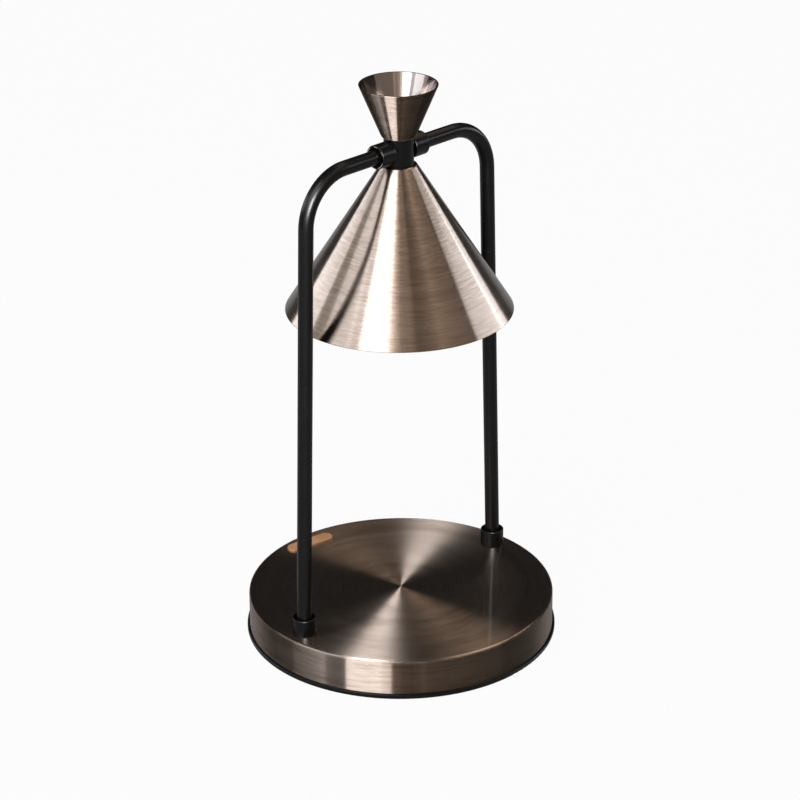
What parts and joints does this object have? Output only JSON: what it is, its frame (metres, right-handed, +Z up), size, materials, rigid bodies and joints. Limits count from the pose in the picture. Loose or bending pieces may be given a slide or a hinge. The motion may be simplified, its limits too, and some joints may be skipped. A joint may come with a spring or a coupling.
{
  "type": "candle warmer lamp",
  "caption": "Table lamp that melts a jar candle from above: weighted round base, tube arch and a tilting double-cone head with a reflector lamp.",
  "frame": {"origin": "centre of the underside, on the surface that the lamp stands on", "axes": "+Z up along the axis of base and head, X along the arch and the cross bar, +Y towards the cord gland at the back"},
  "size_m": [0.1728, 0.1728, 0.3178],
  "materials": {
    "brushed_bronze": "satin",
    "black_satin": "satin",
    "black_pan": "satin",
    "rubber_pad": "matte",
    "ballast_iron": "matte",
    "zinc_steel": "satin",
    "black_oxide": "satin",
    "copper_plate": "polished",
    "terminal_brass": "satin",
    "washer_plastic": "matte",
    "block_plastic": "satin",
    "lead_sleeve": "matte",
    "white_ceramic": "satin",
    "lamp_mirror": "polished",
    "lamp_glass": "gloss"
  },
  "bodies": {
    "root": {"base_shell": "brushed_bronze", "bottom_pan": "black_pan", "base_pad": "rubber_pad", "ballast_plate": "ballast_iron", "pan_posts": "zinc_steel", "pan_screws": "zinc_steel", "cord_gland": "rubber_pad", "badge_plate": "copper_plate", "left_leg_tube": "black_satin", "right_leg_tube": "black_satin", "left_foot_collar": "black_satin", "right_foot_collar": "black_satin", "leg_washers": "zinc_steel", "leg_nuts": "zinc_steel", "left_hub_collar": "black_satin", "right_hub_collar": "black_satin", "friction_washer": "washer_plastic", "stop_pin": "zinc_steel", "collar_grub_screws": "black_oxide", "terminal_block": "block_plastic", "terminal_inserts": "terminal_brass", "terminal_screws": "zinc_steel", "riser_leads": "lead_sleeve", "earth_stud": "zinc_steel", "earth_tag": "terminal_brass", "earth_nut": "zinc_steel"},
    "head": {"hub": "black_satin", "upper_cone": "brushed_bronze", "cone_screw": "zinc_steel", "shade": "brushed_bronze", "holder_bracket": "zinc_steel", "ring_nut": "terminal_brass", "lampholder": "white_ceramic", "holder_screws": "zinc_steel", "contact_springs": "terminal_brass", "head_leads": "lead_sleeve"},
    "bulb": {"bulb_base": "white_ceramic", "bulb_pins": "zinc_steel", "bulb_reflector": "lamp_mirror", "bulb_lens": "lamp_glass", "bulb_capsule": "lamp_glass"}
  },
  "joints": [
    {"name": "head_tilt", "type": "hinge", "parent": "root", "child": "head", "pos_m": [0, 0, 0.2818], "axis": [1, 0, 0], "range_deg": [-45, 45]},
    {"name": "bulb_twist", "type": "hinge", "parent": "head", "child": "bulb", "pos_m": [0, 0, 0.24525], "axis": [0, 0, 1], "range_deg": [-30, 0]}
  ]
}
